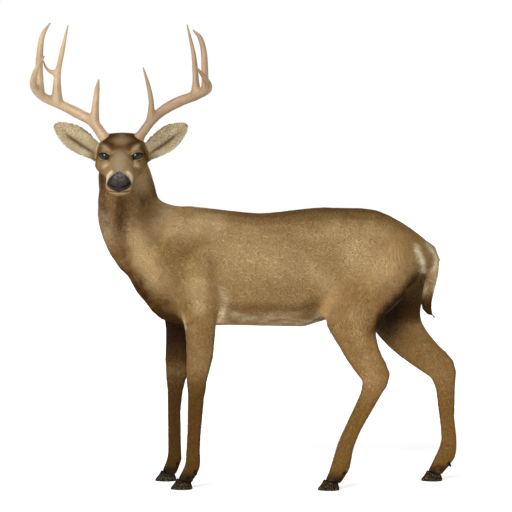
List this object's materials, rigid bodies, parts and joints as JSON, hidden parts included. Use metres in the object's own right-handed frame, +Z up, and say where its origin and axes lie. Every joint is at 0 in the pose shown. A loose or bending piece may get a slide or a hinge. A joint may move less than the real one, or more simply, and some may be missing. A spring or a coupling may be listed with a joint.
{
  "type": "standing white-tailed deer",
  "caption": "Life-size white-tailed deer buck standing on its hooves, head turned to face its left side, with branched antlers and spread ears; a still display model.",
  "frame": {"origin": "on the floor, under the middle of the deer's bounding box", "axes": "+Z up; the trunk lies along X with the chest towards -X; the deer's left side and its turned face look towards -Y"},
  "size_m": [1.4926, 0.5238, 1.618],
  "materials": {
    "body_coat": "short tan-brown hair lying flat on the hide, darker along the back, matt",
    "neck_and_head_coat": "dark brown hair with grey and rust flecks, matt",
    "ear_coat": "thin pale hair inside, brown hair behind and at the rim, matt",
    "leg_coat": "very short golden-brown hair, matt",
    "tail_coat": "long brown hair with cream streaks and a white underside, matt",
    "nose": "bare black pebbled skin, moist satin",
    "eye": "dark brown glass-like eye, wet gloss",
    "antler": "hardened antler bone, beige tips and browner grooves, satin",
    "hoof": "black horn, satin"
  },
  "bodies": {
    "root": {"antler_left_beam_lower": "antler", "antler_left_beam_upper": "antler", "antler_left_brow_tine": "antler", "antler_left_second_tine": "antler", "antler_left_third_tine": "antler", "antler_right_beam_lower": "antler", "antler_right_beam_upper": "antler", "antler_right_brow_tine": "antler", "antler_right_second_tine": "antler", "antler_right_third_tine": "antler", "ear_left": "ear_coat", "ear_right": "ear_coat", "eye_left": "eye", "eye_right": "eye", "foreleg_left_cannon": "leg_coat", "foreleg_left_dewclaw_inner": "hoof", "foreleg_left_dewclaw_outer": "hoof", "foreleg_left_forearm": "leg_coat", "foreleg_left_hoof_inner": "hoof", "foreleg_left_hoof_outer": "hoof", "foreleg_left_pastern": "leg_coat", "foreleg_right_cannon": "leg_coat", "foreleg_right_dewclaw_inner": "hoof", "foreleg_right_dewclaw_outer": "hoof", "foreleg_right_forearm": "leg_coat", "foreleg_right_hoof_inner": "hoof", "foreleg_right_hoof_outer": "hoof", "foreleg_right_pastern": "leg_coat", "head": "neck_and_head_coat", "hindleg_left_cannon": "leg_coat", "hindleg_left_dewclaw_inner": "hoof", "hindleg_left_dewclaw_outer": "hoof", "hindleg_left_gaskin": "leg_coat", "hindleg_left_hoof_inner": "hoof", "hindleg_left_hoof_outer": "hoof", "hindleg_left_pastern": "leg_coat", "hindleg_left_thigh": "leg_coat", "hindleg_right_cannon": "leg_coat", "hindleg_right_dewclaw_inner": "hoof", "hindleg_right_dewclaw_outer": "hoof", "hindleg_right_gaskin": "leg_coat", "hindleg_right_hoof_inner": "hoof", "hindleg_right_hoof_outer": "hoof", "hindleg_right_pastern": "leg_coat", "hindleg_right_thigh": "leg_coat", "neck": "neck_and_head_coat", "nose_pad": "nose", "tail": "tail_coat", "trunk": "body_coat"}
  },
  "joints": []
}
